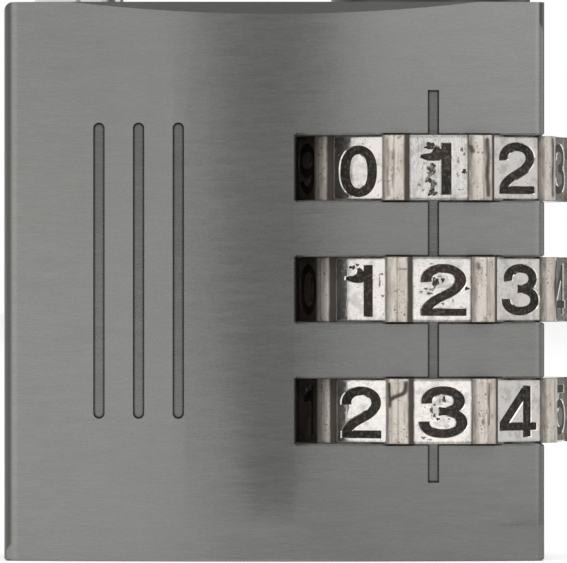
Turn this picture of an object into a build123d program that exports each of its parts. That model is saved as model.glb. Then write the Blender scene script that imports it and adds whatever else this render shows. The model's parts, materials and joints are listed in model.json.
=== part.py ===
from build123d import *
import os
from math import cos, radians, sin, sqrt

os.makedirs("parts", exist_ok=True)

# Three-dial combination padlock, standing upright on its flat base. Millimetres.
# X runs across the front towards the dials, the front faces -Y, Z is up,
# and the origin is the centre of the base.

# Body block
body_width = 30.0
body_depth = 14.6
head_height = 9.2
crown_radius = 93.0
blank_side_corner = 0.9
dial_side_corner = 0.6
foot_round = 0.5
dial_side_foot_round = 0.12
shoulder_round = 0.22
top_bevel_depth = 0.7
edge_break = 0.12
edge_break_angle = 45.0
mouth_break = 0.1
floor_thickness = 1.3

# Dials: ten flat plates with a gripping rib between each two
dial_count = 3
dial_inset = 6.2
dial_pitch = 6.74
lowest_dial_z = 8.32
dial_thickness = 3.45
plate_count = 10
plate_apothem = 7.45
rib_rise = 0.62
rib_width = 1.48
rib_round = 0.32
dial_edge_break = 0.2
dial_turns = (2.3, 3.6, 4.0)

# Slots that the dials stand in, cut by a large disc cutter from the dial side
slot_gap = 0.1
slot_floor_gap = 0.13
slot_cutter_radius = 45.0

# Code sleeves: one inside each dial, stacked on one axis
sleeve_radius = 4.6
sleeve_gap = 0.04
gate_thickness = 1.6
tooth_count = 5
tooth_depth = 0.55
tooth_width = 0.9
tooth_height = 1.2
notch_height = 1.5
running_gap = 0.05
notch_gap = 0.1
tooth_swing_gap = 0.15
bush_gap = 0.12

# Shackle: a bent rod whose long leg stands in the dial stack
rod_radius = 2.5
short_leg_inset = 4.0
clear_height = 24.0
toe_depth = 4.8
toe_chamfer = 0.5
toe_hole_gap = 0.15
toe_floor_gap = 0.1
leg_gap = 0.2
stem_radius = 1.7
stem_gap = 0.1
stem_tip = 0.5
stem_tip_chamfer = 0.4
lug_height = 2.2
lug_gap = 0.25
lug_half_angle = 25.0
key_half_angle = 30.0
lift_margin = 0.34
land_height = 0.75

# Bush in the top of the body and the pin that holds the shackle in
bush_radius = 5.5
bush_rim_width = 0.1
bush_rim_height = 1.0
bush_rim_chamfer = 0.25
press_gap = 0.01
pin_radius = 0.6
pin_drop = 1.5
pin_tip_gap = 0.15
pin_end_gap = 0.05
slot_cut_depth = 0.7

# Washer and coil spring under the stack
washer_thickness = 0.5
washer_hole_gap = 0.5
washer_rim_gap = 0.1
coil_wire_width = 0.6
coil_wire_height = 0.45
coil_radius = 4.5
coil_turns = 3
seat_gap = 0.02

# Click spring: a bumped leaf in an upright hole behind the slot floors
leaf_plate_count = 3
leaf_thickness = 0.2
leaf_width = 1.5
leaf_stand_off = 1.15
leaf_bump_half = 1.6
leaf_touch_gap = 0.06
leaf_end_gap = 0.4
leaf_hole_radius = 1.2
leaf_hole_offset = 0.2
plug_length = 2.0
plug_chamfer = 0.15

# Grooves in the front face
groove_width = 0.63
groove_depth = 0.25
index_side_step = 0.02
index_below_dials = 3.96
index_above_dials = 4.3
grip_count = 3
grip_inset = 7.5
grip_rise = 0.6
grip_length = 16.4
grip_pitch = 2.2

# Sizes that follow from the ones above
half_width = body_width / 2
half_depth = body_depth / 2
dial_axis_x = half_width - dial_inset
short_leg_x = short_leg_inset - half_width
mean_turn = sum(dial_turns) / dial_count
dial_step = 360 / plate_count
dial_middles = [lowest_dial_z + dial_pitch * (dial_count - 1 - row) for row in range(dial_count)]
body_height = dial_middles[0] + head_height
rib_radius = plate_apothem + rib_rise
slot_height = dial_thickness + 2 * slot_gap
slot_floor_x = dial_axis_x - rib_radius - slot_floor_gap
sleeve_height = dial_pitch - sleeve_gap
sleeve_bottoms = [middle - sleeve_height / 2 for middle in dial_middles]
tooth_radius = sleeve_radius + tooth_depth
dial_bore_radius = sleeve_radius + running_gap
notch_radius = tooth_radius + notch_gap
stack_bore_radius = tooth_radius + tooth_swing_gap
stem_hole_radius = stem_radius + stem_gap
lug_hole_radius = rod_radius + stem_gap
relief_radius = rod_radius + leg_gap
lift = dial_pitch - lift_margin
bush_bottom = sleeve_bottoms[0] + sleeve_height + bush_gap
pin_z = body_height - pin_drop
pin_tip = rod_radius - slot_cut_depth + pin_tip_gap
leg_slot_width = 2 * (pin_radius + pin_end_gap)
leg_slot_bottom = pin_z - pin_radius - pin_end_gap - lift
leg_slot_top = pin_z + pin_radius + pin_end_gap
leg_end_z = leg_slot_bottom - land_height
lug_bottoms = [bottom - lug_gap - lug_height for bottom in sleeve_bottoms]
stem_end_z = lug_bottoms[-1] - stem_tip
bow_radius = (dial_axis_x - short_leg_x) / 2
bow_z = body_height + clear_height - bow_radius + rod_radius
bow_x = (dial_axis_x + short_leg_x) / 2
washer_top = sleeve_bottoms[-1] - seat_gap
washer_bottom = washer_top - washer_thickness
lug_turn = 180.0


def face_depth(x):
    """Half depth of the crowned body at the distance x from its middle."""
    return half_depth - crown_radius + sqrt(crown_radius**2 - x**2)


def turned_plane(z, turn):
    """Level plane on the dial axis, its -Y side turned from the front by this angle."""
    angle = radians(turn)
    return Plane(origin=(dial_axis_x, 0, z), x_dir=(cos(angle), sin(angle), 0), z_dir=(0, 0, 1))


def finish(builder, name):
    """Name a finished piece and write it out."""
    builder.part.label = name
    export_step(builder.part, f"parts/{name}.step")


# Pie slices for the lugs and for the keyways that let them through, pointing to -Y
def pie_slice(radius, half_angle):
    """Face of a pie slice about the origin."""
    side_x = radius * sin(radians(half_angle))
    side_y = -radius * cos(radians(half_angle))
    with BuildSketch() as pie:
        with BuildLine():
            Line((0, 0), (-side_x, side_y))
            ThreePointArc((-side_x, side_y), (0, -radius), (side_x, side_y))
            Line((side_x, side_y), (0, 0))
        make_face()
    return pie.sketch


lug_face = pie_slice(rod_radius, lug_half_angle)
key_face = pie_slice(lug_hole_radius, key_half_angle)

# Lock body: crowned front and back, rounded sides and bevelled top
leaf_direction = mean_turn - leaf_plate_count * dial_step
leaf_line = plate_apothem + leaf_stand_off
leaf_hole_x = dial_axis_x + (leaf_line + leaf_hole_offset) * sin(radians(leaf_direction))
leaf_hole_y = -(leaf_line + leaf_hole_offset) * cos(radians(leaf_direction))
leaf_bottom = plug_length + leaf_end_gap
leaf_top = dial_middles[0] + dial_thickness / 2 + leaf_end_gap
leaf_hole_top = leaf_top + leaf_end_gap
bevel_start = half_depth - top_bevel_depth
mouth_x = slot_floor_x + slot_cutter_radius - sqrt(slot_cutter_radius**2 - half_depth**2)
mouth_y = face_depth(mouth_x)

with BuildSketch() as plan:
    with BuildLine():
        side_depth = face_depth(half_width)
        Line((half_width, -side_depth), (half_width, side_depth))
        ThreePointArc((half_width, side_depth), (0, half_depth), (-half_width, side_depth))
        Line((-half_width, side_depth), (-half_width, -side_depth))
        ThreePointArc((-half_width, -side_depth), (0, -half_depth), (half_width, -side_depth))
    make_face()
    fillet(plan.vertices().group_by(Axis.X)[0], blank_side_corner)
    fillet(plan.vertices().group_by(Axis.X)[-1], dial_side_corner)


def mouth_ring(slot_face_z, away):
    """Ring that breaks the outer edge of one slot face: away is 1 for the face above, -1 below."""
    reach = 2 * mouth_break
    top_z = slot_face_z + max(away, 0) * reach
    with BuildPart() as ring:
        with BuildSketch(Plane.XY.offset(top_z)):
            with Locations((mouth_x + half_width, 0)):
                Rectangle(body_width, 2 * body_depth)
        extrude(amount=-reach)
        with BuildSketch(Plane.XY.offset(top_z)):
            add(plan.sketch)
            offset(amount=away * mouth_break)
        extrude(amount=-reach, taper=away * edge_break_angle, mode=Mode.SUBTRACT)
    return ring.part


with BuildPart() as lock_body:
    with BuildSketch(Plane.XY.offset(edge_break)) as outline:
        add(plan.sketch)
    extrude(amount=body_height - edge_break)
    extrude(outline.sketch, amount=-edge_break, taper=edge_break_angle)
    with BuildSketch(Plane.XZ) as front_view:
        with Locations((0, body_height / 2)):
            Rectangle(body_width, body_height)
        low_corners = front_view.vertices().group_by(Axis.Z)[0].sort_by(Axis.X)
        high_corners = front_view.vertices().group_by(Axis.Z)[-1]
        fillet(low_corners[0], foot_round)
        fillet(low_corners[-1], dial_side_foot_round)
        fillet(high_corners, shoulder_round)
    extrude(amount=body_depth, both=True, mode=Mode.INTERSECT)
    with BuildSketch(Plane.YZ):
        for side in (-1, 1):
            with BuildLine():
                Polyline(
                    (side * bevel_start, body_height),
                    (side * body_depth, body_height),
                    (side * body_depth, body_height + bevel_start - body_depth),
                    close=True,
                )
            make_face()
    extrude(amount=body_width, both=True, mode=Mode.SUBTRACT)

    # Slots for the dials
    for middle in dial_middles:
        with BuildSketch(Plane.XY.offset(middle - slot_height / 2)):
            with Locations((slot_floor_x + slot_cutter_radius, 0)):
                Circle(slot_cutter_radius)
            for side in (-1, 1):
                with BuildLine():
                    Polyline(
                        (mouth_x - 2 * mouth_break, side * (mouth_y + mouth_break)),
                        (mouth_x + mouth_break, side * (mouth_y - 2 * mouth_break)),
                        (mouth_x + mouth_break, side * (mouth_y + mouth_break)),
                        close=True,
                    )
                make_face()
        extrude(amount=slot_height, mode=Mode.SUBTRACT)

        add(mouth_ring(middle + slot_height / 2, 1), mode=Mode.SUBTRACT)
        add(mouth_ring(middle - slot_height / 2, -1), mode=Mode.SUBTRACT)

    # Bore for the sleeves and seat for the bush
    with BuildSketch(Plane.XY.offset(floor_thickness)):
        with Locations((dial_axis_x, 0)):
            Circle(stack_bore_radius)
    extrude(amount=body_height, mode=Mode.SUBTRACT)
    with BuildSketch(Plane.XY.offset(bush_bottom)):
        with Locations((dial_axis_x, 0)):
            Circle(bush_radius + press_gap)
    extrude(amount=body_height, mode=Mode.SUBTRACT)

    # Blind hole for the short leg, and the upright hole of the click spring
    with BuildSketch(Plane.XY.offset(body_height - toe_depth - toe_floor_gap)):
        with Locations((short_leg_x, 0)):
            Circle(rod_radius + toe_hole_gap)
    extrude(amount=body_height, mode=Mode.SUBTRACT)
    with BuildSketch(Plane.XY.offset(body_height)):
        with Locations((short_leg_x, 0)):
            Circle(rod_radius + toe_hole_gap + mouth_break)
    extrude(amount=-mouth_break, taper=edge_break_angle, mode=Mode.SUBTRACT)
    with BuildSketch():
        with Locations((leaf_hole_x, leaf_hole_y)):
            Circle(leaf_hole_radius)
    extrude(amount=leaf_hole_top, mode=Mode.SUBTRACT)

    # Index line that the digits are read against
    index_x = dial_axis_x + index_side_step
    index_low_z = lowest_dial_z - index_below_dials
    index_high_z = dial_middles[0] + index_above_dials
    with BuildSketch(Plane.XZ.offset(face_depth(index_x) - groove_depth)):
        with Locations((index_x, (index_low_z + index_high_z) / 2)):
            Rectangle(groove_width, index_high_z - index_low_z)
    extrude(amount=body_depth, mode=Mode.SUBTRACT)

    # Grip grooves on the blank side
    for number in range(grip_count):
        groove_x = grip_inset - half_width + grip_pitch * (number - (grip_count - 1) / 2)
        with BuildSketch(Plane.XZ.offset(face_depth(groove_x) - groove_depth)):
            with Locations((groove_x, body_height / 2 + grip_rise)):
                SlotOverall(grip_length, groove_width, rotation=90)
        extrude(amount=body_depth, mode=Mode.SUBTRACT)
finish(lock_body, "lock_body")


# Shackle: rod, stem with a lug under each gate, and the slot that the retaining pin runs in
with BuildPart() as shackle:
    toe_z = body_height - toe_depth
    with BuildLine(Plane.XZ):
        Line((short_leg_x, toe_z), (short_leg_x, bow_z))
        ThreePointArc((short_leg_x, bow_z), (bow_x, bow_z + bow_radius), (dial_axis_x, bow_z))
        Line((dial_axis_x, bow_z), (dial_axis_x, leg_end_z))
    with BuildSketch(Plane.XY.offset(toe_z)):
        with Locations((short_leg_x, 0)):
            Circle(rod_radius)
    sweep()
    toe_edge = shackle.edges().filter_by(GeomType.CIRCLE).filter_by_position(
        Axis.X, short_leg_x - rod_radius, short_leg_x + rod_radius
    ).sort_by(Axis.Z)[0]
    chamfer(toe_edge, toe_chamfer)
    with BuildSketch(Plane.XY.offset(stem_end_z)):
        with Locations((dial_axis_x, 0)):
            Circle(stem_radius)
    extrude(amount=leg_end_z - stem_end_z)
    chamfer(shackle.edges().sort_by(Axis.Z)[0], stem_tip_chamfer)
    for lug_bottom in lug_bottoms:
        with BuildSketch(turned_plane(lug_bottom, lug_turn)):
            add(lug_face)
        extrude(amount=lug_height)
    slot_floor = rod_radius - slot_cut_depth
    with BuildSketch(turned_plane(leg_slot_bottom, lug_turn)):
        with Locations((0, -slot_floor - rod_radius / 2)):
            Rectangle(leg_slot_width, rod_radius)
    extrude(amount=leg_slot_top - leg_slot_bottom, mode=Mode.SUBTRACT)
    with BuildSketch(turned_plane(leg_slot_bottom, lug_turn)):
        Circle(relief_radius)
        Circle(slot_floor, mode=Mode.SUBTRACT)
    extrude(amount=leg_slot_width, mode=Mode.SUBTRACT)
finish(shackle, "shackle")


# Top bush: the collar round the long leg
with BuildPart() as top_bush:
    with BuildSketch(Plane.XY.offset(bush_bottom)):
        with Locations((dial_axis_x, 0)):
            Circle(bush_radius)
    extrude(amount=body_height - bush_bottom)
    with BuildSketch(Plane.XY.offset(body_height)):
        with Locations((dial_axis_x, 0)):
            Circle(bush_radius + bush_rim_width)
    extrude(amount=bush_rim_height)
    chamfer(top_bush.edges().sort_by(Axis.Z)[-1], bush_rim_chamfer)
    with BuildSketch(Plane.XY.offset(bush_bottom)):
        with Locations((dial_axis_x, 0)):
            Circle(rod_radius + running_gap)
    extrude(amount=body_height, mode=Mode.SUBTRACT)
    with BuildSketch(Plane.XZ):
        with Locations((dial_axis_x, pin_z)):
            Circle(pin_radius + press_gap)
    extrude(amount=-2 * bush_radius, mode=Mode.SUBTRACT)
finish(top_bush, "top_bush")


# Retaining pin: stands in the bush wall with its tip in the long leg's slot
with BuildPart() as retaining_pin:
    with BuildSketch(Plane.XZ.offset(-pin_tip)):
        with Locations((dial_axis_x, pin_z)):
            Circle(pin_radius)
    extrude(amount=pin_tip + pin_end_gap - bush_radius)
finish(retaining_pin, "retaining_pin")


def make_dial(row):
    """One number dial: a ten-sided wheel with ribs on its corners and a notched bore."""
    bottom = dial_middles[row] - dial_thickness / 2
    turn = dial_turns[row]
    with BuildPart() as dial:
        with BuildSketch(turned_plane(bottom, turn)):
            RegularPolygon(radius=plate_apothem, side_count=plate_count, major_radius=False)
            with PolarLocations(plate_apothem, plate_count):
                RectangleRounded(2 * rib_rise + rib_round, rib_width, rib_round)
        extrude(amount=dial_thickness)
        side_plane = Plane(origin=(dial_axis_x, 0, bottom), x_dir=(1, 0, 0), z_dir=(0, -1, 0))
        with BuildSketch(side_plane) as section:
            with BuildLine():
                Polyline(
                    (dial_bore_radius, dial_thickness),
                    (rib_radius, dial_thickness),
                    (rib_radius, 0),
                    (stack_bore_radius, 0),
                    (stack_bore_radius, dial_thickness - notch_height),
                    (dial_bore_radius, dial_thickness - notch_height),
                    close=True,
                )
            make_face()
            chamfer(section.vertices().group_by(Axis.X)[-1], dial_edge_break)
        revolve(axis=Axis((dial_axis_x, 0, 0), (0, 0, 1)), mode=Mode.INTERSECT)
        with BuildSketch(turned_plane(bottom + dial_thickness, turn)):
            with PolarLocations(notch_radius - tooth_depth, plate_count):
                Rectangle(2 * tooth_depth, tooth_width + 2 * notch_gap)
        extrude(amount=-notch_height, mode=Mode.SUBTRACT)
    return dial


def make_sleeve(row):
    """One code sleeve: teeth that drive it from its dial, and a keyed gate for the lug below."""
    bottom = sleeve_bottoms[row]
    turn = dial_turns[row]
    tooth_top = dial_middles[row] + dial_thickness / 2 - notch_gap
    with BuildPart() as sleeve:
        with BuildSketch(turned_plane(bottom, turn)):
            Circle(sleeve_radius)
        extrude(amount=sleeve_height)
        with BuildSketch(turned_plane(tooth_top, turn)):
            with PolarLocations(tooth_radius - tooth_depth, tooth_count):
                Rectangle(2 * tooth_depth, tooth_width)
        extrude(amount=-tooth_height)
        with BuildSketch(turned_plane(bottom + gate_thickness, turn)):
            Circle(relief_radius)
        extrude(amount=sleeve_height, mode=Mode.SUBTRACT)
        with BuildSketch(turned_plane(bottom, turn)):
            Circle(stem_hole_radius)
        extrude(amount=gate_thickness, mode=Mode.SUBTRACT)
        with BuildSketch(turned_plane(bottom, turn + lug_turn - mean_turn)):
            add(key_face)
        extrude(amount=gate_thickness, mode=Mode.SUBTRACT)
    return sleeve


for row in range(dial_count):
    finish(make_dial(row), f"dial_{row + 1}")
    finish(make_sleeve(row), f"code_sleeve_{row + 1}")


# Thrust washer between the coil spring and the lowest sleeve
with BuildPart() as thrust_washer:
    with BuildSketch(Plane.XY.offset(washer_bottom)):
        with Locations((dial_axis_x, 0)):
            Circle(stack_bore_radius - washer_rim_gap)
            Circle(rod_radius + washer_hole_gap, mode=Mode.SUBTRACT)
    extrude(amount=washer_thickness)
finish(thrust_washer, "thrust_washer")


# Coil spring that holds the sleeves up in mesh with their dials
with BuildPart() as sleeve_spring:
    coil_bottom = floor_thickness + seat_gap + coil_wire_height / 2
    coil_height = washer_bottom - seat_gap - coil_wire_height / 2 - coil_bottom
    with BuildLine(Plane(origin=(dial_axis_x, 0, coil_bottom))) as coil:
        Helix(pitch=coil_height / coil_turns, height=coil_height, radius=coil_radius)
    with BuildSketch(Plane(origin=coil.line @ 0, x_dir=(1, 0, 0), z_dir=coil.line % 0)):
        Rectangle(coil_wire_width, coil_wire_height)
    sweep(is_frenet=True)
finish(sleeve_spring, "sleeve_spring")


# Click spring: a leaf with one bump resting on a plate of each dial
with BuildPart() as detent_spring:
    leaf_side = radians(leaf_direction - 90)
    outward = Vector(cos(leaf_side), sin(leaf_side), 0)
    leaf_plane = Plane(origin=(dial_axis_x, 0, 0), x_dir=outward, z_dir=outward.cross(Vector(0, 0, 1)))
    bump_height = leaf_stand_off - leaf_touch_gap - leaf_thickness / 2
    bump_radius = (bump_height**2 + leaf_bump_half**2) / (2 * bump_height)
    bump_middle = leaf_line - bump_height + bump_radius
    with BuildSketch(leaf_plane):
        edges = []
        for offset_out in (leaf_thickness / 2, -leaf_thickness / 2):
            line_r = leaf_line + offset_out
            arc_r = bump_radius - offset_out
            half_chord = sqrt(arc_r**2 - (bump_middle - line_r) ** 2)
            edges.append((line_r, arc_r, half_chord))
        with BuildLine():
            for line_r, arc_r, half_chord in edges:
                low = leaf_bottom
                for middle in reversed(dial_middles):
                    Line((line_r, low), (line_r, middle - half_chord))
                    ThreePointArc(
                        (line_r, middle - half_chord),
                        (bump_middle - arc_r, middle),
                        (line_r, middle + half_chord),
                    )
                    low = middle + half_chord
                Line((line_r, low), (line_r, leaf_top))
            for end_z in (leaf_bottom, leaf_top):
                Line((edges[0][0], end_z), (edges[1][0], end_z))
        make_face()
    extrude(amount=leaf_width / 2, both=True)
finish(detent_spring, "detent_spring")


# Plug that closes the click spring's hole, flush with the base
with BuildPart() as spring_plug:
    with BuildSketch():
        with Locations((leaf_hole_x, leaf_hole_y)):
            Circle(leaf_hole_radius - press_gap)
    extrude(amount=plug_length)
    chamfer(spring_plug.edges().sort_by(Axis.Z)[-1], plug_chamfer)
finish(spring_plug, "spring_plug")
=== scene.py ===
"""Looks of a three-dial combination lock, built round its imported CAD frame."""

import json
import logging
import math
from collections.abc import Sequence
from dataclasses import dataclass, field
from enum import Enum

import bmesh
import bpy
from mathutils import Matrix, Vector
from mathutils.geometry import delaunay_2d_cdt, intersect_point_line


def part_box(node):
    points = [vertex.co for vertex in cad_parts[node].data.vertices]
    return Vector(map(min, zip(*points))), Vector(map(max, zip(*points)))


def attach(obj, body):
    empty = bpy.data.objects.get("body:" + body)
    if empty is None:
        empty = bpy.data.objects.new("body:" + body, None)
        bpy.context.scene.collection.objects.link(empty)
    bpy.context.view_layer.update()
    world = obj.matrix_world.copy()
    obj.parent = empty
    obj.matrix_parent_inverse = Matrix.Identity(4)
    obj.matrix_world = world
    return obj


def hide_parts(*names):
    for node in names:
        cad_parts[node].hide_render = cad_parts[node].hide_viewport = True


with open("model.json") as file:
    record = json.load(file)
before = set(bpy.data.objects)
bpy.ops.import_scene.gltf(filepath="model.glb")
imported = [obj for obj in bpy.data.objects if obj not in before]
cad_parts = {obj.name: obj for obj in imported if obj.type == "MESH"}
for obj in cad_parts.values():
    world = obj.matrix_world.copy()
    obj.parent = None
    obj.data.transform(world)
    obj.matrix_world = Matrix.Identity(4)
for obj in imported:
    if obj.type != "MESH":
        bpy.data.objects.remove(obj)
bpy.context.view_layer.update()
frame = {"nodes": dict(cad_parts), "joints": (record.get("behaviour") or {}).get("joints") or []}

log = logging.getLogger("lock")
MM = 0.001

Point2 = tuple[float, float]
Point3 = tuple[float, float, float]
Colour = tuple[float, float, float]
Socket = bpy.types.NodeSocket
Node = bpy.types.Node


def dial_axis(node: str) -> Point2:
    """Read where a dial's axis stands from the frame.

    Args:
        node: The dial's CAD node.

    Returns:
        The axis in millimetres along x and y.
    """
    joint = next(j for j in frame["joints"] if j["name"] == f"{node}_turn")
    return (joint["pos_m"][0] / MM, joint["pos_m"][1] / MM)


def scaled(colour: Colour, factor: float) -> Colour:
    """Return a colour with its level changed by a factor."""
    return tuple(factor * c for c in colour)


def put_in_scene(name: str, data: bpy.types.ID) -> bpy.types.Object:
    """Make an object and put it in the scene.

    Args:
        name: The object's name.
        data: Its mesh, lamp or camera.

    Returns:
        The new object.
    """
    made = bpy.data.objects.new(name, data)
    bpy.context.scene.collection.objects.link(made)
    return made


class Grain(Enum):
    """How a surface was worked, as the stretches of its noise along x, y and z."""

    EVEN = (1.0, 1.0, 1.0)
    TURNED = (1.0, 1.0, 14.0)
    BRUSHED_FINE = (1.3, 1.3, 13.0)
    BRUSHED_BROAD = (0.35, 0.35, 2.4)
    DRAWN = (2.2, 2.2, 0.35)
    RUBBED = (3.0, 3.0, 0.8)


@dataclass(frozen=True)
class Cloud:
    """A cloudy pattern: its features in a millimetre, its finer layers, their strength and its grain."""

    scale: float
    layers: float = 3.0
    rough: float = 0.55
    grain: Grain = Grain.EVEN


@dataclass(frozen=True)
class Band:
    """A smooth change of a value from its start to its end, and the results there."""

    start: float
    end: float
    low: float = 0.0
    high: float = 1.0

    def between(self, low: float, high: float) -> "Band":
        """Return the same change between two other results."""
        return Band(self.start, self.end, low, high)


class Recipe:
    """The node tree of a surface or of the room, put together one step at a time."""

    def __init__(self, owner: bpy.types.Material | bpy.types.World) -> None:
        """Start with an empty tree.

        Args:
            owner: The new material or world that the tree belongs to.
        """
        owner.use_nodes = True
        self.tree = owner.node_tree
        self.tree.nodes.clear()

    def add(self, kind: str, links: dict[str | int, Socket] | None = None, **settings: object) -> Node:
        """Add a node.

        Args:
            kind: Blender's name of the node type.
            links: Sockets to feed into the node's inputs, by input name or number.
            settings: Properties of the node.

        Returns:
            The new node.
        """
        node = self.tree.nodes.new(kind)
        for key, value in settings.items():
            setattr(node, key, value)
        for key, source in (links or {}).items():
            self.tree.links.new(source, node.inputs[key])
        return node

    def millimetres(self) -> Socket:
        """Find the place on the object at rest.

        Returns:
            The place in millimetres.
        """
        place = self.add("ShaderNodeTexCoord").outputs["Object"]
        scale = self.add("ShaderNodeVectorMath", {0: place}, operation="SCALE")
        scale.inputs["Scale"].default_value = 1.0 / MM
        return scale.outputs["Vector"]

    def axes(self, place: Socket) -> tuple[Socket, Socket, Socket]:
        """Split a place.

        Args:
            place: The place.

        Returns:
            Its x, y and z.
        """
        parts = self.add("ShaderNodeSeparateXYZ", {0: place}).outputs
        return (parts["X"], parts["Y"], parts["Z"])

    def noise(self, place: Socket, cloud: Cloud) -> Socket:
        """Lay a cloudy pattern over the surface.

        Args:
            place: The place in millimetres.
            cloud: The pattern.

        Returns:
            A value between 0 and 1.
        """
        if cloud.grain is not Grain.EVEN:
            drawn_out = self.add("ShaderNodeVectorMath", {0: place}, operation="MULTIPLY")
            drawn_out.inputs[1].default_value = cloud.grain.value
            place = drawn_out.outputs["Vector"]
        node = self.add("ShaderNodeTexNoise", {"Vector": place})
        node.inputs["Scale"].default_value = cloud.scale
        node.inputs["Detail"].default_value = cloud.layers
        node.inputs["Roughness"].default_value = cloud.rough
        return node.outputs["Fac"]

    def spread(self, value: Socket, band: Band) -> Socket:
        """Map a value smoothly from one range to another.

        Args:
            value: The value to map.
            band: Where the change begins and ends, and the results there.

        Returns:
            The mapped value.
        """
        node = self.add("ShaderNodeMapRange", {"Value": value}, interpolation_type="SMOOTHSTEP")
        node.inputs["From Min"].default_value = band.start
        node.inputs["From Max"].default_value = band.end
        node.inputs["To Min"].default_value = band.low
        node.inputs["To Max"].default_value = band.high
        return node.outputs["Result"]

    def join(self, operation: str, first: Socket, second: Socket | float = 0.0) -> Socket:
        """Work out a value from one or two others.

        Args:
            operation: Blender's name of the operation.
            first: The first value.
            second: The second value, a socket or a number, where the operation needs one.

        Returns:
            The result.
        """
        node = self.add("ShaderNodeMath", {0: first}, operation=operation)
        if isinstance(second, (int, float)):
            node.inputs[1].default_value = second
        else:
            self.tree.links.new(second, node.inputs[1])
        return node.outputs["Value"]

    def plus(self, first: Socket, second: Socket | float) -> Socket:
        """Return two values' sum."""
        return self.join("ADD", first, second)

    def most(self, first: Socket, second: Socket | float) -> Socket:
        """Return the greater of two values."""
        return self.join("MAXIMUM", first, second)

    def times(self, first: Socket, *others: Socket | float) -> Socket:
        """Multiply values.

        Args:
            first: The first value.
            others: The values or numbers to multiply it by, in turn.

        Returns:
            The product.
        """
        for other in others:
            first = self.join("MULTIPLY", first, other)
        return first

    def blend(self, share: Socket, first: Colour | Socket, second: Colour | Socket) -> Socket:
        """Blend two colours.

        Args:
            share: How much of the second colour, from 0 to 1.
            first: The first colour, a socket or numbers.
            second: The second colour, a socket or numbers.

        Returns:
            The blended colour.
        """
        node = self.add("ShaderNodeMix", {"Factor": share}, data_type="RGBA")
        # The Mix node keeps its two colour inputs and its colour output behind those for numbers.
        for key, colour in ((6, first), (7, second)):
            if isinstance(colour, tuple):
                node.inputs[key].default_value = (*colour, 1.0)
            else:
                self.tree.links.new(colour, node.inputs[key])
        return node.outputs[2]

    def mix(self, share: Socket, first: Socket, second: Socket) -> Socket:
        """Mix two values.

        Args:
            share: How much of the second value, from 0 to 1.
            first: The first value.
            second: The second value.

        Returns:
            The mixed value.
        """
        node = self.add("ShaderNodeMix", {"Factor": share, 2: first, 3: second}, data_type="FLOAT")
        return node.outputs[0]

    def mark(self, name: str) -> Socket:
        """Return a surface mark that the mesh carries."""
        return self.add("ShaderNodeAttribute", attribute_name=name).outputs["Fac"]

    def corner(self, reach: float) -> Socket:
        """Find inner corners and narrow grooves, for painting shade into them.

        Args:
            reach: How far the corner's darkness reaches, in millimetres.

        Returns:
            A value that is 1 in the open and falls towards 0 in a corner.
        """
        node = self.add("ShaderNodeAmbientOcclusion", samples=8, only_local=True)
        node.inputs["Distance"].default_value = reach * MM
        return node.outputs["AO"]

    def bump(self, height: Socket, microns: float, under: Socket | None = None) -> Socket:
        """Turn a height into a surface direction.

        Args:
            height: The height between 0 and 1.
            microns: The real height of a step of 1, in thousandths of a millimetre.
            under: A direction that this one is laid over.

        Returns:
            The direction.
        """
        links = {"Height": height}
        if under:
            links["Normal"] = under
        node = self.add("ShaderNodeBump", links)
        node.inputs["Strength"].default_value = 1.0
        node.inputs["Distance"].default_value = microns * MM * 0.001
        return node.outputs["Normal"]

    def metal(self, colour: Socket, rough: Socket, normal: Socket, **sockets: float) -> Node:
        """Add the metal's or the paint's shader and the output.

        Args:
            colour: The colour.
            rough: The roughness.
            normal: The surface's direction.
            sockets: Numbers for other inputs, with underscores for spaces.

        Returns:
            The shader.
        """
        links = {"Base Color": colour, "Roughness": rough, "Normal": normal}
        shader = self.add("ShaderNodeBsdfPrincipled", links)
        for key, value in sockets.items():
            shader.inputs[key.replace("_", " ")].default_value = value
        self.add("ShaderNodeOutputMaterial", {"Surface": shader.outputs[0]})
        return shader

    def seen_share(self, seen: float, other: float) -> Socket:
        """Give one strength to what the camera, metal and glass see, and another to the rest.

        Args:
            seen: The strength for camera, glossy and transmission rays.
            other: The strength for all other rays.

        Returns:
            The strength.
        """
        path = self.add("ShaderNodeLightPath").outputs
        rays = self.most(path["Is Camera Ray"], path["Is Glossy Ray"])
        rays = self.most(rays, path["Is Transmission Ray"])
        return self.spread(rays, Band(0.0, 1.0, other, seen))


@dataclass(frozen=True)
class DullAndShadedFade:
    """A darker part of the body's face, partly a duller finish and partly painted shade: its change along
    x, its change along z and its depth.
    """

    along_x: Band
    along_z: Band
    depth: float


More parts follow.
